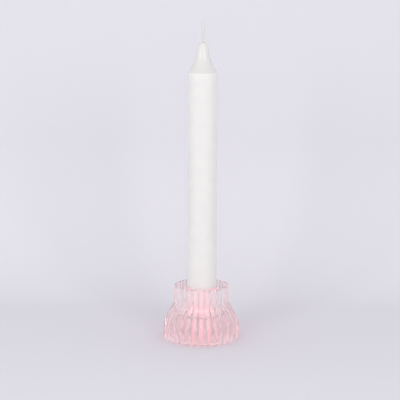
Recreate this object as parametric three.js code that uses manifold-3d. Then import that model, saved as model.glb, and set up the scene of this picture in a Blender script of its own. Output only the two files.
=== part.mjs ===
// Ribbed glass candlestick with a pink socket cup, holding a white dinner candle.
// Millimetres, +Z up. The origin is the centre of the face that the glass stands on.

import * as THREE from 'three';
import { mergeVertices } from 'three/addons/utils/BufferGeometryUtils.js';
import Module from 'manifold-3d';

// Glass body: a bell-shaped skirt with a straight collar, ribbed all the way down its outside.
const glassHeight = 39.6;
const skirtRadius = 28.1;
const skirtWidestHeight = 4.5;
const collarRadius = 20;
const collarFootHeight = 28;
const collarWall = 2.6;
const rimRounding = 0.7;
const footRounding = 1.2;
const footTaper = 0.4;
const skirtFullness = 13;
const neckFullness = 4;
const undersideRecess = 0.6;
const recessSlope = 1;
const standingRingWidth = 6.5;

// Ribs: convex, side by side, each with a crest facing outwards.
const ribCount = 32;
const stepsPerRib = 4;
const collarRibDepth = 1.6;
const skirtRibDepth = 2.6;
const ribRoundness = 0.93;

// Well inside the collar. A bore goes on down from its floor, right through the foot.
const wellFloorHeight = 17;
const wellFillet = 2.4;

// Socket cup: pink glass with a solid stem that fills the bore, and a flange that rests on the well's
// floor. The drip trench is the space above the flange, between the cup and the collar.
const cupWall = 0.9;
const cupRimDrop = 1;
const cupLipRounding = 0.35;
const cupFit = 0.15;
const cupFootChamfer = 0.5;
const flangeTopHeight = 24;
const flangeRounding = 2.6;
const flangeFit = 0.5;
const socketFloorHeight = 16.2;
const socketFloorChamfer = 0.6;

// Candle: a straight body with a sharp shoulder, a bell-shaped nose and a slightly narrower middle.
const candleShoulderRadius = 11.15;
const candleWaistRadius = 10.75;
const candleFootRadius = 11;
const candleLength = 200;
const candleNoseLength = 21.6;
const candleNoseTipRadius = 4.4;
const candleFootChamfer = 1;
const candleWaistStart = 0.4;
const candleWaistEnd = 0.66;
const candleTaperEnd = 0.83;
const candleFit = 0.25;
const candleStandingGap = 0.3;

// Nose outline: how wide, in tip radii, and how far up its length its flare and its neck pull.
const noseFlareWidth = 1.75;
const noseFlareRise = 0.125;
const noseNeckWidth = 1.25;
const noseNeckRise = 0.4;
const noseTipFullness = 0.68;

// Wick: braided cotton, run through the whole candle, with a small curl at its tip.
const wickRadius = 1.35;
const wickExposedLength = 16.9;
const wickSway = 0.5;
const wickCurl = 1.1;
const wickFit = 0.2;
const wickFootGap = 0.5;
const wickSides = 10;
const wickSteps = 24;

// How far a cutter stands out of the glass that it cuts.
const cutOver = 2;

const bellSteps = 7;
const roundSteps = 64;
const candleSteps = 48;

// Sizes that follow from the ones above.
const socketRadius = candleFootRadius + candleFit;
const cupRadius = socketRadius + cupWall;
const cupBoreRadius = cupRadius + cupFit;
const cupTopHeight = glassHeight - cupRimDrop;
const wellRadius = collarRadius - collarWall;
const flangeRadius = wellRadius - flangeFit;
const flangeSeatHeight = wellFloorHeight + cupFit;
const ribSteps = ribCount * stepsPerRib;
const candleFootHeight = socketFloorHeight + candleStandingGap;
const candleTopHeight = candleFootHeight + candleLength;
const candleShoulderHeight = candleTopHeight - candleNoseLength;

const wasm = await Module();
wasm.setup();

// A lathe turns about Y, so each turned geometry is stood up to turn about Z.
function turned(points, steps) {
  const geometry = new THREE.LatheGeometry(points, steps);
  geometry.rotateX(Math.PI / 2);
  return closedGeometry(geometry);
}

function closedGeometry(geometry) {
  const plain = geometry.clone();
  plain.deleteAttribute('normal');
  plain.deleteAttribute('uv');
  const merged = mergeVertices(plain, 1e-4);
  return withoutSlivers(merged);
}

// Merging closes the poles, which leaves triangles that have lost a corner there.
function withoutSlivers(geometry) {
  const index = geometry.getIndex();
  const kept = [];
  for (let i = 0; i < index.count; i += 3) {
    const a = index.getX(i);
    const b = index.getX(i + 1);
    const c = index.getX(i + 2);
    if (a !== b && b !== c && c !== a) kept.push(a, b, c);
  }
  geometry.setIndex(kept);
  return geometry;
}

function solid(geometry) {
  const vertProperties = new Float32Array(geometry.getAttribute('position').array);
  const triVerts = new Uint32Array(geometry.getIndex().array);
  return new wasm.Manifold(new wasm.Mesh({ numProp: 3, vertProperties, triVerts }));
}

function geometryOf(manifold) {
  const mesh = manifold.getMesh();
  const geometry = new THREE.BufferGeometry();
  geometry.setAttribute('position', new THREE.BufferAttribute(mesh.vertProperties, 3));
  geometry.setIndex(new THREE.BufferAttribute(mesh.triVerts, 1));
  geometry.computeVertexNormals();
  return geometry;
}

// Depth below the crest line, from 0 on a rib's crest to 1 in the valley between two ribs.
function ribFall(angle) {
  const turnsPastCrest = (angle * ribCount) / (2 * Math.PI);
  const side = 2 * Math.abs(turnsPastCrest - Math.round(turnsPastCrest)) * ribRoundness;
  const valley = 1 - Math.sqrt(1 - ribRoundness * ribRoundness);
  return (1 - Math.sqrt(1 - side * side)) / valley;
}

// Ribs are deeper on the wide skirt than on the collar.
function ribDepthAt(height) {
  const up = THREE.MathUtils.smoothstep(height, skirtWidestHeight, collarFootHeight);
  return THREE.MathUtils.lerp(skirtRibDepth, collarRibDepth, up);
}

function ribbed(geometry, isOutside) {
  const position = geometry.getAttribute('position');
  for (let i = 0; i < position.count; i += 1) {
    const x = position.getX(i);
    const y = position.getY(i);
    const z = position.getZ(i);
    const radius = Math.hypot(x, y);
    if (!isOutside(radius)) continue;
    const angle = Math.atan2(x, -y);
    const scale = (radius - ribDepthAt(z) * ribFall(angle)) / radius;
    position.setXY(i, x * scale, y * scale);
  }
  return geometry;
}

// Outer wall from the foot to the rim: a foot rounding, the bell curve and the straight collar.
function outerWall() {
  const footRadius = skirtRadius - footTaper;
  const foot = new THREE.QuadraticBezierCurve(
    new THREE.Vector2(footRadius - footRounding, 0),
    new THREE.Vector2(footRadius, 0),
    new THREE.Vector2(footRadius, footRounding),
  );
  const bell = new THREE.CubicBezierCurve(
    new THREE.Vector2(skirtRadius, skirtWidestHeight),
    new THREE.Vector2(skirtRadius, skirtWidestHeight + skirtFullness),
    new THREE.Vector2(collarRadius, collarFootHeight - neckFullness),
    new THREE.Vector2(collarRadius, collarFootHeight),
  );
  const rim = new THREE.QuadraticBezierCurve(
    new THREE.Vector2(collarRadius, glassHeight - rimRounding),
    new THREE.Vector2(collarRadius, glassHeight),
    new THREE.Vector2(collarRadius - rimRounding, glassHeight),
  );
  return [...foot.getPoints(2), ...bell.getPoints(bellSteps), ...rim.getPoints(2)];
}

function glassBlank() {
  const profile = [
    new THREE.Vector2(0, 0),
    ...outerWall(),
    new THREE.Vector2(0, glassHeight),
  ];
  const blank = turned(profile, ribSteps);
  return ribbed(blank, (radius) => radius > wellRadius + rimRounding);
}

// The well inside the collar, and the bore below it that holds the cup's stem.
function wellCutter() {
  const fillet = Math.min(wellFillet, wellRadius - cupBoreRadius);
  const path = new THREE.Path();
  path.moveTo(0, -cutOver);
  path.lineTo(cupBoreRadius, -cutOver);
  path.lineTo(cupBoreRadius, wellFloorHeight);
  path.lineTo(wellRadius - fillet, wellFloorHeight);
  path.absarc(wellRadius - fillet, wellFloorHeight + fillet, fillet, -Math.PI / 2, 0);
  path.lineTo(wellRadius, glassHeight - rimRounding);
  path.lineTo(wellRadius + rimRounding + cutOver, glassHeight + cutOver);
  path.lineTo(0, glassHeight + cutOver);
  return turned(path.getPoints(4), roundSteps);
}

function recessCutter() {
  const inner = skirtRadius - skirtRibDepth - footRounding - standingRingWidth;
  const profile = [
    new THREE.Vector2(0, -cutOver),
    new THREE.Vector2(inner + recessSlope, -cutOver),
    new THREE.Vector2(inner + recessSlope, 0),
    new THREE.Vector2(inner, undersideRecess),
    new THREE.Vector2(0, undersideRecess),
  ];
  return turned(profile, roundSteps);
}

function glassBodyGeometry() {
  const body = solid(glassBlank())
    .subtract(solid(wellCutter()))
    .subtract(solid(recessCutter()));
  return geometryOf(body);
}

// The flange: out along its seat, round its edge and back in on top.
function cupFlange(path) {
  const rounding = Math.min(flangeRounding, flangeRadius - cupRadius);
  const centre = flangeRadius - rounding;
  path.lineTo(cupRadius, flangeSeatHeight);
  path.lineTo(centre, flangeSeatHeight);
  path.absarc(centre, flangeSeatHeight + rounding, rounding, -Math.PI / 2, 0);
  path.absarc(centre, flangeTopHeight - rounding, rounding, 0, Math.PI / 2);
  path.lineTo(cupRadius, flangeTopHeight);
}

// The cup's foot is level with the recess under the glass.
function pinkCupGeometry() {
  const path = new THREE.Path();
  path.moveTo(0, undersideRecess);
  path.lineTo(cupRadius - cupFootChamfer, undersideRecess);
  path.lineTo(cupRadius, undersideRecess + cupFootChamfer);
  cupFlange(path);
  path.lineTo(cupRadius, cupTopHeight - cupLipRounding);
  path.quadraticCurveTo(cupRadius, cupTopHeight, cupRadius - cupWall / 2, cupTopHeight);
  path.quadraticCurveTo(socketRadius, cupTopHeight, socketRadius, cupTopHeight - cupLipRounding);
  path.lineTo(socketRadius, socketFloorHeight + socketFloorChamfer);
  path.lineTo(socketRadius - socketFloorChamfer, socketFloorHeight);
  path.lineTo(0, socketFloorHeight);
  return turned(path.getPoints(3), roundSteps);
}

// Candle body from its foot to the shoulder, slightly drawn in at mid height.
function candleBody() {
  const straight = candleShoulderHeight - candleFootHeight;
  const foot = new THREE.Vector2(candleFootRadius, candleFootHeight + candleFootChamfer);
  const along = (share) => candleFootHeight + straight * share;
  const waistLow = new THREE.Vector2(candleWaistRadius, along(candleWaistStart));
  const waistHigh = new THREE.Vector2(candleWaistRadius, along(candleWaistEnd));
  const shoulder = new THREE.Vector2(candleShoulderRadius, along(candleTaperEnd));
  const outline = new THREE.SplineCurve([foot, waistLow, waistHigh, shoulder]);
  return outline.getPoints(8);
}

// The nose flares from a blunt round tip down to the sharp shoulder.
function candleNose() {
  const tipHeight = candleTopHeight - candleNoseTipRadius;
  const path = new THREE.Path();
  path.moveTo(candleShoulderRadius, candleShoulderHeight);
  path.bezierCurveTo(
    candleNoseTipRadius * noseFlareWidth, candleShoulderHeight + candleNoseLength * noseFlareRise,
    candleNoseTipRadius * noseNeckWidth, candleShoulderHeight + candleNoseLength * noseNeckRise,
    candleNoseTipRadius, tipHeight,
  );
  path.quadraticCurveTo(
    candleNoseTipRadius * noseTipFullness, candleTopHeight,
    wickRadius + wickFit, candleTopHeight,
  );
  return path.getPoints(6);
}

function candleGeometry() {
  const bore = wickRadius + wickFit;
  const profile = [
    new THREE.Vector2(bore, candleFootHeight),
    new THREE.Vector2(candleFootRadius - candleFootChamfer, candleFootHeight),
    ...candleBody(),
    ...candleNose(),
    new THREE.Vector2(bore, candleFootHeight),
  ];
  return turned(profile, candleSteps);
}

// The wick's centre line: straight through the wax, a slight sway above it and a curl at the tip.
// Its steps follow the points and not the length, so that the curl has as many as the rest.
function wickLine() {
  const top = candleTopHeight + wickExposedLength;
  const line = new THREE.CatmullRomCurve3([
    new THREE.Vector3(0, 0, candleFootHeight + wickFootGap),
    new THREE.Vector3(0, 0, candleTopHeight - wickExposedLength),
    new THREE.Vector3(0, 0, candleTopHeight),
    new THREE.Vector3(wickSway * 0.6, 0, candleTopHeight + wickExposedLength * 0.3),
    new THREE.Vector3(wickSway, 0, candleTopHeight + wickExposedLength * 0.6),
    new THREE.Vector3(wickSway, 0, top - wickCurl * 2),
    new THREE.Vector3(wickSway + wickCurl, 0, top - wickRadius * 0.5),
  ]);
  line.getUtoTmapping = (u) => u;
  return line;
}

function wickGeometry() {
  const section = new THREE.Shape();
  section.absarc(0, 0, wickRadius, 0, 2 * Math.PI);
  const points = section.getPoints(wickSides).slice(0, wickSides);
  return closedGeometry(new THREE.ExtrudeGeometry(new THREE.Shape(points), {
    steps: wickSteps,
    bevelEnabled: false,
    extrudePath: wickLine(),
  }));
}

const clearGlass = new THREE.MeshStandardMaterial({
  color: 0xf0e6ea, roughness: 0.05, metalness: 0, transparent: true, opacity: 0.4,
});
const pinkGlass = new THREE.MeshStandardMaterial({
  color: 0xeda6b2, roughness: 0.2, metalness: 0,
});
const whiteWax = new THREE.MeshStandardMaterial({
  color: 0xf1f0ee, roughness: 0.4, metalness: 0,
});
const waxedCotton = new THREE.MeshStandardMaterial({
  color: 0xe4e1da, roughness: 0.7, metalness: 0,
});

function piece(name, geometry, material) {
  const mesh = new THREE.Mesh(geometry, material);
  mesh.name = name;
  return mesh;
}

const holder = new THREE.Group();
holder.add(piece('glass_body', glassBodyGeometry(), clearGlass));
holder.add(piece('pink_cup', pinkCupGeometry(), pinkGlass));

const lightable = new THREE.Group();
lightable.add(piece('candle', candleGeometry(), whiteWax));
lightable.add(piece('wick', wickGeometry(), waxedCotton));

const candlestick = new THREE.Group();
candlestick.add(holder, lightable);

export default candlestick;
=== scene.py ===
import math

import bmesh
import bpy
from mathutils import Matrix, Vector


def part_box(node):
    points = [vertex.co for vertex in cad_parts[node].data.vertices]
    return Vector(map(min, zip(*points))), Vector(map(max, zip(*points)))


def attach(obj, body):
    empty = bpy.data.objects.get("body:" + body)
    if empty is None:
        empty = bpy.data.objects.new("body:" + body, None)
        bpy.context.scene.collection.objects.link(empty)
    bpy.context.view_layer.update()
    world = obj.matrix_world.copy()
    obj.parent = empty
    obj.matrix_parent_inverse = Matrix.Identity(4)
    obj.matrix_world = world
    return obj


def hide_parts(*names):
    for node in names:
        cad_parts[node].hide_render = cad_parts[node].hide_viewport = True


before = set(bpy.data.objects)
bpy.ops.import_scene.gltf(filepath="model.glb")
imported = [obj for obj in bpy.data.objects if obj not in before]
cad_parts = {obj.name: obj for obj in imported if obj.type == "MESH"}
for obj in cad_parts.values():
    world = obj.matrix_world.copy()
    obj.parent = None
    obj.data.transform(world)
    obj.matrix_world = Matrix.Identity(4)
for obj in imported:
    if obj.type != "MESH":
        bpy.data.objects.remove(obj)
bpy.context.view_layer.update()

MM = 0.001

# Sizes read from the frame, so that each piece fits its CAD node.
GLASS_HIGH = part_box("glass_body")[1]
CUP_LOW, CUP_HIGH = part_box("pink_cup")
CANDLE_LOW, CANDLE_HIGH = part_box("candle")
WICK_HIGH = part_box("wick")[1]

# Pressed glass body.
RIBS = 32
STEPS_PER_RIB = 16
SKIRT_RADIUS = GLASS_HIGH.x
GLASS_HEIGHT = GLASS_HIGH.z
COLLAR_RADIUS = 20.0 * MM
COLLAR_WALL = 2.6 * MM
COLLAR_FOOT = 28.0 * MM
SKIRT_WIDEST = 4.5 * MM
SKIRT_FULLNESS = 13.0 * MM
NECK_FULLNESS = 4.0 * MM
FOOT_TAPER = 0.4 * MM
FOOT_ROUNDING = 1.2 * MM
RIM_ROUNDING = 0.35 * MM
RIB_DEPTH = 2.6 * MM
RIB_ROUNDNESS = 0.93
TRENCH_FLOOR = 17.0 * MM
TRENCH_FILLET = 2.4 * MM
BORE_LIP = 0.5 * MM
RECESS_DEPTH = 0.6 * MM
RECESS_RADIUS = 19.0 * MM
RECESS_SLOPE = 1.5 * MM
RECESS_PULL_OUT, RECESS_PULL_IN = 0.8 * MM, 0.7 * MM
GLASS_SMOOTH_ANGLE = 75

# Candle.
CANDLE_STEPS = 96
CANDLE_START_RADIUS = 2.0 * MM
CANDLE_SMOOTH_ANGLE = 50
CANDLE_RADIUS = CANDLE_HIGH.x
CANDLE_WAIST = 10.75 * MM
CANDLE_FOOT_RADIUS = 11.0 * MM
CANDLE_FIT = 0.25 * MM
CANDLE_FOOT_ROUNDING = 1.0 * MM
# Heights on its body, in shares of the length from foot to shoulder.
FOOT_END, WAIST_START, WAIST_END = 0.25, 0.3, 0.5
BODY_PULL_LOW, BODY_PULL_HIGH, BODY_START = 0.72, 0.7, 0.86
SHOULDER_INSET = 0.25 * MM
SHOULDER_CORNER = 0.3 * MM
SHOULDER_RISE = 0.35 * MM
NOSE_LENGTH = 21.6 * MM
NOSE_TIP_RADIUS = 4.4 * MM
# The nose's curve leans towards these points, in shares of its tip's radius and of its length.
FLARE_WIDTH, FLARE_RISE = 1.9, 0.115
NECK_WIDTH, NECK_RISE = 1.25, 0.4
# The tip's curve has two points of its own, in shares of its radius.
TIP_SIDE_WIDTH, TIP_SIDE_DROP = 0.82, 0.42
TIP_TOP_WIDTH, TIP_TOP_DROP = 0.6, 0.03
# Where the glossier nose starts; above it the wax colour also turns greyer, as painted shade.
NOSE_GLOSS_AND_SHADE_EDGE = 0.6 * MM
WICK_SEAT_DROP = 0.15 * MM
WICK_POCKET_DEPTH = 1.2 * MM

# Pink cup.
CUP_STEPS = 128
CUP_START_SHARE = 0.2
CUP_SMOOTH_ANGLE = 60
CUP_WALL = 0.9 * MM
CUP_RADIUS = CANDLE_FOOT_RADIUS + CANDLE_FIT + CUP_WALL
CUP_FOOT = CUP_LOW.z
CUP_TOP = CUP_HIGH.z
CUP_FIT = 0.15 * MM
FLANGE_RADIUS = CUP_HIGH.x
FLANGE_ROUNDING = 2.6 * MM
FLANGE_TOP = 24.0 * MM
FLANGE_CORNER = 1.0 * MM
STEM_ROUNDING = 0.5 * MM
CUP_LIP = 0.4 * MM
SOCKET_CORNER = 1.0 * MM
CANDLE_SEAT_GAP = 0.3 * MM
SOCKET_FLOOR = CANDLE_LOW.z - CANDLE_SEAT_GAP

# Wick: a flat plait of three strands.
WICK_RADIUS = 1.35 * MM
WICK_SWAY = 0.25 * MM
WICK_HOOK = 0.7 * MM
WICK_HOOK_START = 0.84
STRAND_RADIUS = 0.62 * MM
STRAND_STEPS = 72
PLAIT_LENGTH = 7.5 * MM
PLAIT_WIDTH = 0.7 * MM
PLAIT_DEPTH = 0.3 * MM
WICK_ROOT = 2.0 * MM
WICK_TIP_GAP = 0.15 * MM
WAX_COAT_GRAIN = 0.14 * MM
WICK_SMOOTH_ANGLE = 60
CREAMY_LENGTH = 3.0 * MM

# Studio lights.
AIR_STRENGTH = 0.78
SOFTBOX_SIZE = 0.42
SOFTBOX_AWAY = 1.1
SOFTBOX_RISE = 19
SOFTBOX_AIM = 0.1
LIGHT_BOUNCES, GLOSSY_BOUNCES = 24, 12
LEFT_BEARING, LEFT_WATTS = -36, 2.5
RIGHT_BEARING, RIGHT_WATTS = 29, 2.4

# Paper sweep.
SWEEP_START = 80.0 * MM
SWEEP_RADIUS = 120.0 * MM
SWEEP_HEIGHT = 1.2
SWEEP_WIDTH = 3.0
SWEEP_FRONT = 1.5
SWEEP_BENDS = 24
TABLE_SIZE = 6.0
TABLE_DROP = 1.0 * MM
PAPER_GAP = 0.05 * MM

# Camera.
FILM_WIDTH = 36.0
LENS_PER_FILM_WIDTH = 1360 / 400
CAMERA_PLACE = (-1.4 * MM, -970 * MM, 283 * MM)
CAMERA_PITCH = 10.53
CAMERA_ROLL = 0.25


# ---------------------------------------------------------------- modelling

def deselect_all():
    if bpy.context.object and bpy.context.object.mode != "OBJECT":
        bpy.ops.object.mode_set(mode="OBJECT")
    bpy.ops.object.select_all(action="DESELECT")


def start_ring(name, steps, radius, height):
    """A level circle round the candle's axis, left selected in edit mode."""
    deselect_all()
    bpy.ops.mesh.primitive_circle_add(vertices=steps, radius=radius, location=(0, 0, height))
    piece = bpy.context.object
    piece.name = name
    bpy.ops.object.transform_apply(location=True, rotation=True, scale=True)
    bpy.ops.object.mode_set(mode="EDIT")
    bpy.ops.mesh.select_mode(type="VERT")
    bpy.ops.mesh.select_all(action="SELECT")
    return piece


def selected_ring(piece):
    """The widest radius and the height of the selected ring."""
    mesh = bmesh.from_edit_mesh(piece.data)
    picked = [v.co for v in mesh.verts if v.select]
    return max(co.xy.length for co in picked), picked[0].z


def pull_ring(piece, radius, height):
    """Extrudes the selected ring to a new radius and height."""
    old_radius, old_height = selected_ring(piece)
    bpy.ops.mesh.extrude_region_move(
        TRANSFORM_OT_translate={"value": (0, 0, height - old_height)}
    )
    scale = radius / old_radius
    bpy.ops.transform.resize(value=(scale, scale, 1), center_override=(0, 0, height))


def pull_outline(piece, outline):
    for radius, height in outline:
        pull_ring(piece, radius, height)


def make_round(piece, radius):
    """Turns the selected ring, ribbed or not, into a true circle."""
    bpy.ops.transform.tosphere(value=1.0)
    old_radius, height = selected_ring(piece)
    scale = radius / old_radius
    bpy.ops.transform.resize(value=(scale, scale, 1), center_override=(0, 0, height))


def select_ring_at(piece, height, nearer_than=1.0):
    """Selects the vertices at one height, within a distance of the axis."""
    mesh = bmesh.from_edit_mesh(piece.data)
    for v in mesh.verts:
        v.select = abs(v.co.z - height) < 1e-6 and v.co.xy.length < nearer_than
    mesh.select_flush_mode()
    bmesh.update_edit_mesh(piece.data)


def curve_points(start, lean_out, lean_in, end, steps):
    """Points along a cubic curve after its start, as (radius, height)."""
    points = []
    for i in range(1, steps + 1):
        t = i / steps
        weights = ((1 - t) ** 3, 3 * t * (1 - t) ** 2, 3 * t * t * (1 - t), t ** 3)
        corners = (start, lean_out, lean_in, end)
        points.append(tuple(sum(w * c[k] for w, c in zip(weights, corners)) for k in (0, 1)))
    return points


def rounded_corner(start, corner, end, steps=5):
    """Points along a rounded corner after its start."""
    lean_out = tuple(s + (c - s) * 0.55 for s, c in zip(start, corner))
    lean_in = tuple(e + (c - e) * 0.55 for e, c in zip(end, corner))
    return curve_points(start, lean_out, lean_in, end, steps)


def straight(start, end, steps):
    return [
        (start[0] + (end[0] - start[0]) * i / steps, start[1] + (end[1] - start[1]) * i / steps)
        for i in range(1, steps + 1)
    ]


def finish_mesh(piece, smooth_angle):
    """Closes the modelling: faces outwards, doubles merged, smooth shading by angle."""
    bpy.ops.mesh.select_all(action="SELECT")
    bpy.ops.mesh.remove_doubles(threshold=2e-6)
    bpy.ops.mesh.normals_make_consistent(inside=False)
    bpy.ops.object.mode_set(mode="OBJECT")
    bpy.ops.object.shade_smooth_by_angle(angle=math.radians(smooth_angle))
    deselect_all()
    return piece


# ---------------------------------------------------------------- ribbed glass

def rib_fall(share):
    """From 0 on a crest to 1 in the valley, for a share of half a rib."""
    side = share * RIB_ROUNDNESS
    return (1 - math.sqrt(1 - side * side)) / (1 - math.sqrt(1 - RIB_ROUNDNESS ** 2))


def press_ribs(piece, radius):
    """Scales each set of vertices between two crests inwards, to make one ring of ribs."""
    step_angle = 2 * math.pi / (RIBS * STEPS_PER_RIB)
    half = STEPS_PER_RIB // 2
    for offset in range(1, half + 1):
        mesh = bmesh.from_edit_mesh(piece.data)
        for v in mesh.verts:
            step = round(math.atan2(v.co.x, -v.co.y) / step_angle) % STEPS_PER_RIB
            v.select = min(step, STEPS_PER_RIB - step) == offset
        bmesh.update_edit_mesh(piece.data)
        scale = 1 - RIB_DEPTH * rib_fall(offset / half) / radius
        bpy.ops.transform.resize(value=(scale, scale, 1), center_override=(0, 0, 0))
    bpy.ops.mesh.select_all(action="SELECT")


def glass_outer_wall():
    outline = [(SKIRT_RADIUS, SKIRT_WIDEST)]
    outline += curve_points(
        (SKIRT_RADIUS, SKIRT_WIDEST),
        (SKIRT_RADIUS, SKIRT_WIDEST + SKIRT_FULLNESS),
        (COLLAR_RADIUS, COLLAR_FOOT - NECK_FULLNESS),
        (COLLAR_RADIUS, COLLAR_FOOT),
        22,
    )
    rim_start = (COLLAR_RADIUS, GLASS_HEIGHT - RIM_ROUNDING)
    outline += straight((COLLAR_RADIUS, COLLAR_FOOT), rim_start, 4)
    rim_end = (COLLAR_RADIUS - RIM_ROUNDING, GLASS_HEIGHT)
    outline += rounded_corner(rim_start, (COLLAR_RADIUS, GLASS_HEIGHT), rim_end)
    return outline


def glass_well():
    """Down from the rim: the collar's inside, the trench and the bore that holds the cup."""
    wall = COLLAR_RADIUS - COLLAR_WALL
    bore = CUP_RADIUS + CUP_FIT
    lip = wall + RIM_ROUNDING
    outline = rounded_corner(
        (lip, GLASS_HEIGHT), (wall, GLASS_HEIGHT), (wall, GLASS_HEIGHT - RIM_ROUNDING)
    )
    fillet_top = (wall, TRENCH_FLOOR + TRENCH_FILLET)
    fillet_foot = (wall - TRENCH_FILLET, TRENCH_FLOOR)
    outline += straight(outline[-1], fillet_top, 3)
    outline += rounded_corner(fillet_top, (wall, TRENCH_FLOOR), fillet_foot, 6)
    bore_lip = (bore + BORE_LIP, TRENCH_FLOOR)
    outline += straight(fillet_foot, bore_lip, 2)
    outline += rounded_corner(bore_lip, (bore, TRENCH_FLOOR), (bore, TRENCH_FLOOR - BORE_LIP), 3)
    outline += straight(outline[-1], (bore, RECESS_DEPTH + BORE_LIP), 6)
    return outline


def make_glass_body():
    foot = SKIRT_RADIUS - FOOT_TAPER
    piece = start_ring("ribbed_glass", RIBS * STEPS_PER_RIB, foot, FOOT_ROUNDING)
    press_ribs(piece, foot)
    pull_outline(piece, glass_outer_wall())
    rim_inside = COLLAR_RADIUS - COLLAR_WALL + RIM_ROUNDING
    pull_ring(piece, rim_inside, GLASS_HEIGHT)
    make_round(piece, rim_inside)
    pull_outline(piece, glass_well())
    select_ring_at(piece, FOOT_ROUNDING)
    pull_outline(
        piece,
        rounded_corner((foot, FOOT_ROUNDING), (foot, 0), (foot - FOOT_ROUNDING, 0)),
    )
    recess_edge = RECESS_RADIUS + RECESS_SLOPE
    pull_ring(piece, recess_edge, 0)
    make_round(piece, recess_edge)
    pull_outline(
        piece,
        curve_points(
            (recess_edge, 0),
            (RECESS_RADIUS + RECESS_PULL_OUT, 0),
            (RECESS_RADIUS + RECESS_PULL_IN, RECESS_DEPTH),
            (RECESS_RADIUS, RECESS_DEPTH),
            5,
        ),
    )
    bore = CUP_RADIUS + CUP_FIT
    bore_foot = (bore + BORE_LIP, RECESS_DEPTH)
    pull_outline(piece, [bore_foot])
    pull_outline(
        piece, rounded_corner(bore_foot, (bore, RECESS_DEPTH), (bore, RECESS_DEPTH + BORE_LIP), 3)
    )
    return finish_mesh(piece, GLASS_SMOOTH_ANGLE)


# ---------------------------------------------------------------- pink cup

def cup_stem_and_flange(low, seat):
    """Up the stem, out under the flange, round its edge and back to the cup."""
    outline = [(CUP_RADIUS * 0.7, low), (CUP_RADIUS - STEM_ROUNDING, low)]
    outline += rounded_corner(outline[-1], (CUP_RADIUS, low), (CUP_RADIUS, low + STEM_ROUNDING))
    under_flange = (CUP_RADIUS, seat - STEM_ROUNDING)
    outline += straight((CUP_RADIUS, low + STEM_ROUNDING), under_flange, 6)
    outline += rounded_corner(under_flange, (CUP_RADIUS, seat), (CUP_RADIUS + STEM_ROUNDING, seat), 3)
    inside = FLANGE_RADIUS - FLANGE_ROUNDING
    outline += rounded_corner(
        (inside, seat), (FLANGE_RADIUS, seat), (FLANGE_RADIUS, seat + FLANGE_ROUNDING), 6
    )
    outline += rounded_corner(
        (FLANGE_RADIUS, FLANGE_TOP - FLANGE_ROUNDING), (FLANGE_RADIUS, FLANGE_TOP), (inside, FLANGE_TOP), 6
    )
    outline += rounded_corner(
        (CUP_RADIUS + FLANGE_CORNER, FLANGE_TOP), (CUP_RADIUS, FLANGE_TOP),
        (CUP_RADIUS, FLANGE_TOP + FLANGE_CORNER), 5,
    )
    return outline


def cup_wall_and_socket(top):
    """Up the cup's outside, over its lip, down the socket and in to the middle of its floor."""
    socket = CUP_RADIUS - CUP_WALL
    outline = straight((CUP_RADIUS, FLANGE_TOP + FLANGE_CORNER), (CUP_RADIUS, top - CUP_LIP), 6)
    outline += rounded_corner((CUP_RADIUS, top - CUP_LIP), (CUP_RADIUS, top), (CUP_RADIUS - CUP_LIP, top))
    outline += rounded_corner((socket + CUP_LIP, top), (socket, top), (socket, top - CUP_LIP))
    corner_top = (socket, SOCKET_FLOOR + SOCKET_CORNER)
    outline += straight((socket, top - CUP_LIP), corner_top, 6)
    outline += rounded_corner(corner_top, (socket, SOCKET_FLOOR), (socket - SOCKET_CORNER, SOCKET_FLOOR))
    return outline + [(socket * 0.5, SOCKET_FLOOR), (socket * 0.15, SOCKET_FLOOR)]


def make_pink_cup():
    low = CUP_FOOT
    piece = start_ring("pink_socket_cup", CUP_STEPS, CUP_RADIUS * CUP_START_SHARE, low)
    pull_outline(piece, cup_stem_and_flange(low, TRENCH_FLOOR + CUP_FIT))
    pull_outline(piece, cup_wall_and_socket(CUP_TOP))
    bpy.ops.mesh.merge(type="CENTER")
    select_ring_at(piece, low, nearer_than=CUP_RADIUS * CUP_START_SHARE * 1.5)
    bpy.ops.mesh.edge_face_add()
    return finish_mesh(piece, CUP_SMOOTH_ANGLE)


# ---------------------------------------------------------------- candle

def candle_body(foot, shoulder):
    """The foot's rounded edge, a slight waist, and the straight body below the shoulder."""
    length = shoulder - foot
    foot_flat = (CANDLE_FOOT_RADIUS - CANDLE_FOOT_ROUNDING, foot)
    foot_side = (CANDLE_FOOT_RADIUS, foot + CANDLE_FOOT_ROUNDING)
    outline = [foot_flat]
    outline += rounded_corner(foot_flat, (CANDLE_FOOT_RADIUS, foot), foot_side)
    outline += curve_points(
        foot_side,
        (CANDLE_FOOT_RADIUS, foot + length * FOOT_END),
        (CANDLE_WAIST, foot + length * WAIST_START),
        (CANDLE_WAIST, foot + length * WAIST_END),
        14,
    )
    outline += curve_points(
        (CANDLE_WAIST, foot + length * WAIST_END),
        (CANDLE_WAIST, foot + length * BODY_PULL_LOW),
        (CANDLE_RADIUS, foot + length * BODY_PULL_HIGH),
        (CANDLE_RADIUS, foot + length * BODY_START),
        14,
    )
    return outline + straight((CANDLE_RADIUS, foot + length * BODY_START), (CANDLE_RADIUS, shoulder), 6)


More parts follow.
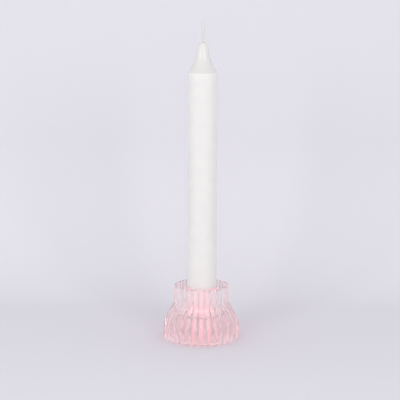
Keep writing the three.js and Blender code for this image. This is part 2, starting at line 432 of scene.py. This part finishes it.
def candle_nose(shoulder, top):
    """The sharp shoulder, the bell of the nose, its round tip and the pocket the wick comes out of."""
    shoulder_lip = (CANDLE_RADIUS - SHOULDER_INSET, shoulder + SHOULDER_RISE)
    corner = (CANDLE_RADIUS, shoulder + SHOULDER_CORNER)
    outline = rounded_corner((CANDLE_RADIUS, shoulder), corner, shoulder_lip, 4)
    tip = (NOSE_TIP_RADIUS, top - NOSE_TIP_RADIUS)
    outline += curve_points(
        shoulder_lip,
        (NOSE_TIP_RADIUS * FLARE_WIDTH, shoulder + NOSE_LENGTH * FLARE_RISE),
        (NOSE_TIP_RADIUS * NECK_WIDTH, shoulder + NOSE_LENGTH * NECK_RISE),
        tip,
        18,
    )
    outline += curve_points(
        tip,
        (NOSE_TIP_RADIUS * TIP_SIDE_WIDTH, top - NOSE_TIP_RADIUS * TIP_SIDE_DROP),
        (NOSE_TIP_RADIUS * TIP_TOP_WIDTH, top - NOSE_TIP_RADIUS * TIP_TOP_DROP),
        (WICK_RADIUS, top - WICK_SEAT_DROP),
        9,
    )
    return outline + [(WICK_RADIUS * 0.8, top - WICK_POCKET_DEPTH)]


def make_candle():
    foot = CANDLE_LOW.z
    top = CANDLE_HIGH.z
    shoulder = top - NOSE_LENGTH
    piece = start_ring("wax_candle", CANDLE_STEPS, CANDLE_START_RADIUS, foot)
    pull_outline(piece, candle_body(foot, shoulder))
    pull_outline(piece, candle_nose(shoulder, top))
    bpy.ops.mesh.edge_face_add()
    select_ring_at(piece, foot, nearer_than=CANDLE_START_RADIUS * 1.5)
    bpy.ops.mesh.edge_face_add()
    return finish_mesh(piece, CANDLE_SMOOTH_ANGLE)


# ---------------------------------------------------------------- wick

def wick_centre(height):
    """How far the wick has swayed to +X at a height: a slow lean, then a hook at the tip."""
    above = max(0.0, (height - CANDLE_HIGH.z) / (WICK_HIGH.z - CANDLE_HIGH.z))
    lean = WICK_SWAY * math.sin(min(1.0, above * 1.4) * math.pi / 2)
    hook = WICK_HOOK * max(0.0, (above - WICK_HOOK_START) / (1 - WICK_HOOK_START)) ** 2
    return lean + hook


def pull_strand_ring(piece, centre, radius, height):
    """Extrudes the selected ring of a strand to a new centre and radius."""
    mesh = bmesh.from_edit_mesh(piece.data)
    picked = [v.co for v in mesh.verts if v.select]
    middle = sum(picked, Vector()) / len(picked)
    old_radius = max((co - middle).length for co in picked)
    move = (centre[0] - middle.x, centre[1] - middle.y, height - middle.z)
    bpy.ops.mesh.extrude_region_move(TRANSFORM_OT_translate={"value": move})
    scale = radius / old_radius
    bpy.ops.transform.resize(value=(scale, scale, 1), center_override=(centre[0], centre[1], height))


def strand_centre(phase, height):
    """A strand's place in a three-strand plait: it weaves across X twice as slowly as through Y."""
    turn = 2 * math.pi * (height / PLAIT_LENGTH + phase / 3)
    across = PLAIT_WIDTH * math.sin(turn)
    through = PLAIT_DEPTH * math.sin(2 * turn)
    return wick_centre(height) + across, through


def make_strand(phase, low, high):
    """One cotton strand, closed at its foot and rounded towards both ends."""
    piece = start_ring("strand", 10, STRAND_RADIUS * 0.4, low)
    bpy.ops.transform.translate(value=(*strand_centre(phase, low), 0))
    bpy.ops.mesh.edge_face_add()
    for i in range(1, STRAND_STEPS + 1):
        share = i / STRAND_STEPS
        height = low + (high - low) * share
        round_end = min(1.0, share * 20, (1 - share) * 20 + 0.05) ** 0.5
        pull_strand_ring(piece, strand_centre(phase, height), STRAND_RADIUS * round_end, height)
    bpy.ops.mesh.select_all(action="SELECT")
    bpy.ops.mesh.normals_make_consistent(inside=False)
    bpy.ops.object.mode_set(mode="OBJECT")
    return piece


def make_wick():
    """Three plaited strands run together by a coat of wax: one closed skin, remeshed and smoothed."""
    low = CANDLE_HIGH.z - WICK_ROOT
    high = WICK_HIGH.z - WICK_TIP_GAP
    strands = [make_strand(phase, low, high) for phase in range(3)]
    deselect_all()
    for strand in strands:
        strand.select_set(True)
    bpy.context.view_layer.objects.active = strands[0]
    bpy.ops.object.join()
    piece = bpy.context.object
    piece.name = "waxed_wick"
    remesh = piece.modifiers.new("wax_coat", "REMESH")
    remesh.mode = "VOXEL"
    remesh.voxel_size = WAX_COAT_GRAIN
    bpy.ops.object.modifier_apply(modifier=remesh.name)
    smooth = piece.modifiers.new("wax_flow", "SMOOTH")
    smooth.factor = 0.5
    smooth.iterations = 6
    bpy.ops.object.modifier_apply(modifier=smooth.name)
    bpy.ops.object.mode_set(mode="EDIT")
    return finish_mesh(piece, WICK_SMOOTH_ANGLE)


# ---------------------------------------------------------------- materials

def linear(hex_colour):
    """An sRGB hex colour as linear RGBA."""
    channels = [int(hex_colour[i:i + 2], 16) / 255 for i in (1, 3, 5)]
    return tuple(c / 12.92 if c <= 0.04045 else ((c + 0.055) / 1.055) ** 2.4 for c in channels) + (1.0,)


def add_node(tree, kind, inputs=(), **settings):
    """Adds a node, sets it up, and sets or links its inputs, given as (socket, value or output)."""
    node = tree.nodes.new(kind)
    for name, value in settings.items():
        setattr(node, name, value)
    for socket, value in inputs:
        if isinstance(value, bpy.types.NodeSocket):
            tree.links.new(value, node.inputs[socket])
        else:
            node.inputs[socket].default_value = value
    return node


def new_material(name):
    """An empty node material and its tree with an output node."""
    material = bpy.data.materials.new(name)
    material.use_nodes = True
    tree = material.node_tree
    tree.nodes.clear()
    return material, tree


def give(piece, material):
    piece.data.materials.clear()
    piece.data.materials.append(material)


def let_light_through(tree, shader, tint):
    """Lets light from lamps and from lit surfaces pass a glassy wall, tinted, as the real glass does."""
    light_path = add_node(tree, "ShaderNodeLightPath")
    clear = add_node(tree, "ShaderNodeBsdfTransparent", [("Color", linear(tint))])
    for ray in ("Is Diffuse Ray", "Is Shadow Ray"):
        shader = add_node(
            tree, "ShaderNodeMixShader",
            [(0, light_path.outputs[ray]), (1, shader.outputs[0]), (2, clear.outputs[0])],
        )
    return shader


def pressed_clear_glass():
    """Soda-lime glass pressed in an iron mould: faintly pink in its depth and softly rippled. The mould
    leaves a fine haze on its skin, so it looks a little milky and its ribs show as soft streaks."""
    material, tree = new_material("pressed_clear_glass")
    place = add_node(tree, "ShaderNodeTexCoord")
    ripple = add_node(
        tree, "ShaderNodeTexNoise",
        [("Vector", place.outputs["Object"]), ("Scale", 1 / (5 * MM)), ("Detail", 2.0)],
    )
    bump = add_node(
        tree, "ShaderNodeBump",
        [("Height", ripple.outputs[0]), ("Strength", 0.03), ("Distance", 0.5 * MM)],
    )
    shader = add_node(
        tree, "ShaderNodeBsdfPrincipled",
        [
            ("Base Color", linear("#ffffff")), ("Roughness", 0.1), ("IOR", 1.5),
            ("Transmission Weight", 0.88), ("Normal", bump.outputs[0]),
        ],
    )
    depth = add_node(
        tree, "ShaderNodeVolumeAbsorption",
        [("Color", linear("#fbacb7")), ("Density", 11.0)],
    )
    lets_light_in = let_light_through(tree, shader, "#fffafb")
    add_node(
        tree, "ShaderNodeOutputMaterial",
        [("Surface", lets_light_in.outputs[0]), ("Volume", depth.outputs[0])],
    )
    return material


def pink_lined_glass():
    """Dense pink glass: a soft, even pink that glows a little where light comes through its wall."""
    material, tree = new_material("pink_lined_glass")
    place = add_node(tree, "ShaderNodeTexCoord")
    cloud = add_node(
        tree, "ShaderNodeTexNoise",
        [("Vector", place.outputs["Object"]), ("Scale", 1 / (9 * MM)), ("Detail", 2.0)],
    )
    tint = add_node(tree, "ShaderNodeValToRGB", [("Fac", cloud.outputs[0])])
    tint.color_ramp.elements[0].position = 0.3
    tint.color_ramp.elements[0].color = linear("#ffcfd5")
    tint.color_ramp.elements[1].position = 0.7
    tint.color_ramp.elements[1].color = linear("#ffd9de")
    shader = add_node(
        tree, "ShaderNodeBsdfPrincipled",
        [
            ("Base Color", tint.outputs[0]), ("Roughness", 0.3), ("IOR", 1.5),
            ("Subsurface Weight", 0.5), ("Subsurface Radius", (2.0, 1.0, 1.1)), ("Subsurface Scale", MM),
        ],
    )
    lets_light_in = let_light_through(tree, shader, "#ffe0e5")
    add_node(tree, "ShaderNodeOutputMaterial", [("Surface", lets_light_in.outputs[0])])
    return material


def white_candle_wax():
    """Moulded paraffin and stearin wax: white, satin and faintly clouded. The nose, dipped last, is
    glossier than the body; its greyer colour there is painted shade."""
    material, tree = new_material("white_candle_wax")
    place = add_node(tree, "ShaderNodeTexCoord")
    height = add_node(tree, "ShaderNodeSeparateXYZ", [(0, place.outputs["Object"])])
    shoulder = CANDLE_HIGH.z - NOSE_LENGTH
    nose = add_node(
        tree, "ShaderNodeMapRange",
        [("Value", height.outputs["Z"]), ("From Min", shoulder), ("From Max", shoulder + NOSE_GLOSS_AND_SHADE_EDGE)],
    )
    crystals = add_node(
        tree, "ShaderNodeTexNoise",
        [("Vector", place.outputs["Object"]), ("Scale", 1 / (6 * MM)), ("Detail", 4.0)],
    )
    body_tint = add_node(tree, "ShaderNodeValToRGB", [("Fac", crystals.outputs[0])])
    body_tint.color_ramp.elements[0].position = 0.3
    body_tint.color_ramp.elements[0].color = linear("#e7e6e4")
    body_tint.color_ramp.elements[1].position = 0.7
    body_tint.color_ramp.elements[1].color = linear("#eae9e7")
    # On the nose the wax is painted a greyer white (#e1e0df): painted shade on the tapered tip, not another
    # wax.
    tint = add_node(
        tree, "ShaderNodeMix",
        [(0, nose.outputs[0]), (6, body_tint.outputs[0]), (7, linear("#e1e0df"))],
        data_type="RGBA",
    )
    gloss = add_node(
        tree, "ShaderNodeMapRange",
        [("Value", nose.outputs[0]), ("To Min", 0.42), ("To Max", 0.14)],
    )
    bump = add_node(
        tree, "ShaderNodeBump",
        [("Height", crystals.outputs[0]), ("Strength", 0.06), ("Distance", 0.3 * MM)],
    )
    shader = add_node(
        tree, "ShaderNodeBsdfPrincipled",
        [
            ("Base Color", tint.outputs[2]), ("Roughness", gloss.outputs[0]), ("IOR", 1.44),
            ("Subsurface Weight", 0.7), ("Subsurface Radius", (5.0, 4.4, 4.0)), ("Subsurface Scale", MM),
            ("Normal", bump.outputs[0]),
        ],
    )
    add_node(tree, "ShaderNodeOutputMaterial", [("Surface", shader.outputs[0])])
    return material


def waxed_cotton():
    """Plaited cotton dipped in wax: white and satin at the tip, a touch creamier where it leaves the nose."""
    material, tree = new_material("waxed_cotton")
    place = add_node(tree, "ShaderNodeTexCoord")
    height = add_node(tree, "ShaderNodeSeparateXYZ", [(0, place.outputs["Object"])])
    above_nose = add_node(
        tree, "ShaderNodeMapRange",
        [
            ("Value", height.outputs["Z"]),
            ("From Min", CANDLE_HIGH.z), ("From Max", CANDLE_HIGH.z + CREAMY_LENGTH),
        ],
    )
    tint = add_node(
        tree, "ShaderNodeMix",
        [(0, above_nose.outputs[0]), (6, linear("#e0dcd6")), (7, linear("#dddcdb"))],
        data_type="RGBA",
    )
    fibres = add_node(
        tree, "ShaderNodeTexNoise",
        [("Vector", place.outputs["Object"]), ("Scale", 1 / (0.8 * MM)), ("Detail", 2.0)],
    )
    bump = add_node(
        tree, "ShaderNodeBump",
        [("Height", fibres.outputs[0]), ("Strength", 0.1), ("Distance", 0.1 * MM)],
    )
    shader = add_node(
        tree, "ShaderNodeBsdfPrincipled",
        [
            ("Base Color", tint.outputs[2]), ("Roughness", 0.5), ("IOR", 1.44),
            ("Subsurface Weight", 0.4), ("Subsurface Radius", (1.0, 0.8, 0.7)), ("Subsurface Scale", MM),
            ("Normal", bump.outputs[0]),
        ],
    )
    add_node(tree, "ShaderNodeOutputMaterial", [("Surface", shader.outputs[0])])
    return material


# ---------------------------------------------------------------- studio

def add_flat_sheet(name, width, depth, front, height):
    deselect_all()
    bpy.ops.mesh.primitive_plane_add(size=1, location=(0, 0, 0))
    sheet = bpy.context.object
    sheet.name = name
    sheet.scale = (width, depth, 1)
    sheet.location = (0, front + depth / 2, height)
    bpy.ops.object.transform_apply(location=True, rotation=True, scale=True)
    return sheet


def sweep_paper():
    """Matt lilac-white background paper. It shows only its front, so that it hides nothing from behind."""
    material, tree = new_material("sweep_paper")
    paper = add_node(
        tree, "ShaderNodeBsdfPrincipled",
        [("Base Color", linear("#e2e1e8")), ("Roughness", 0.9), ("Specular IOR Level", 0.2)],
    )
    side = add_node(tree, "ShaderNodeNewGeometry")
    clear = add_node(tree, "ShaderNodeBsdfTransparent")
    one_sided = add_node(
        tree, "ShaderNodeMixShader",
        [(0, side.outputs["Backfacing"]), (1, paper.outputs[0]), (2, clear.outputs[0])],
    )
    add_node(tree, "ShaderNodeOutputMaterial", [("Surface", one_sided.outputs[0])])
    return material


def make_studio():
    """A sheet of pale paper that lies under the object and curves up close behind it, on a pale table."""
    depth = SWEEP_FRONT + SWEEP_START
    sweep = add_flat_sheet("paper_sweep", SWEEP_WIDTH, depth, -SWEEP_FRONT, -PAPER_GAP)
    bpy.ops.object.mode_set(mode="EDIT")
    mesh = bmesh.from_edit_mesh(sweep.data)
    for v in mesh.verts:
        v.select = v.co.y > SWEEP_START - 1e-4
    mesh.select_flush_mode()
    bmesh.update_edit_mesh(sweep.data)
    turn = math.pi / 2 / SWEEP_BENDS
    step = 2 * SWEEP_RADIUS * math.sin(turn / 2)
    for i in range(SWEEP_BENDS):
        here = turn * (i + 0.5)
        bpy.ops.mesh.extrude_region_move(
            TRANSFORM_OT_translate={"value": (0, step * math.cos(here), step * math.sin(here))}
        )
    bpy.ops.mesh.extrude_region_move(TRANSFORM_OT_translate={"value": (0, 0, SWEEP_HEIGHT)})
    bpy.ops.object.mode_set(mode="OBJECT")
    bpy.ops.object.shade_smooth()
    table = add_flat_sheet("studio_table", TABLE_SIZE, TABLE_SIZE, -TABLE_SIZE / 2, -TABLE_DROP)
    deselect_all()
    paper = sweep_paper()
    for stage_piece in (sweep, table):
        give(stage_piece, paper)


def add_softbox(name, bearing, watts):
    """A square soft light, aimed at the candle. Bearing 0 is in front, and grows to the right."""
    aim = Vector((0, 0, SOFTBOX_AIM))
    side = math.radians(bearing)
    up = math.radians(SOFTBOX_RISE)
    away = Vector((math.sin(side) * math.cos(up), -math.cos(side) * math.cos(up), math.sin(up)))
    light = bpy.data.lights.new(name, "AREA")
    light.shape = "SQUARE"
    light.size = SOFTBOX_SIZE
    light.energy = watts
    lamp = bpy.data.objects.new(name, light)
    bpy.context.scene.collection.objects.link(lamp)
    lamp.location = aim + away * SOFTBOX_AWAY
    lamp.rotation_euler = (-away).to_track_quat("-Z", "Y").to_euler()


def light_studio():
    add_softbox("left_softbox", LEFT_BEARING, LEFT_WATTS)
    add_softbox("right_softbox", RIGHT_BEARING, RIGHT_WATTS)
    world = bpy.data.worlds.new("studio_air")
    bpy.context.scene.world = world
    world.use_nodes = True
    background = world.node_tree.nodes["Background"]
    background.inputs["Color"].default_value = linear("#fffefd")
    background.inputs["Strength"].default_value = AIR_STRENGTH
    bpy.context.scene.view_settings.view_transform = "Standard"
    paths = bpy.context.scene.cycles
    paths.max_bounces = LIGHT_BOUNCES
    paths.transmission_bounces = LIGHT_BOUNCES
    paths.glossy_bounces = GLOSSY_BOUNCES


def add_camera():
    """A long lens in front, a little above, looking down on the foot."""
    camera = bpy.data.cameras.new("camera")
    camera.sensor_width = FILM_WIDTH
    camera.lens = LENS_PER_FILM_WIDTH * FILM_WIDTH
    camera.clip_start = 0.01
    holder = bpy.data.objects.new("camera", camera)
    bpy.context.scene.collection.objects.link(holder)
    holder.matrix_world = (
        Matrix.Translation(CAMERA_PLACE)
        @ Matrix.Rotation(math.pi / 2 - math.radians(CAMERA_PITCH), 4, "X")
        @ Matrix.Rotation(math.radians(CAMERA_ROLL), 4, "Z")
    )
    bpy.context.scene.camera = holder


# ---------------------------------------------------------------- assembly

def place_piece(piece, body, node, material):
    give(piece, material)
    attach(piece, body)
    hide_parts(node)


add_camera()
make_studio()
light_studio()
place_piece(make_glass_body(), "holder", "glass_body", pressed_clear_glass())
place_piece(make_pink_cup(), "holder", "pink_cup", pink_lined_glass())
place_piece(make_candle(), "candle", "candle", white_candle_wax())
place_piece(make_wick(), "candle", "wick", waxed_cotton())
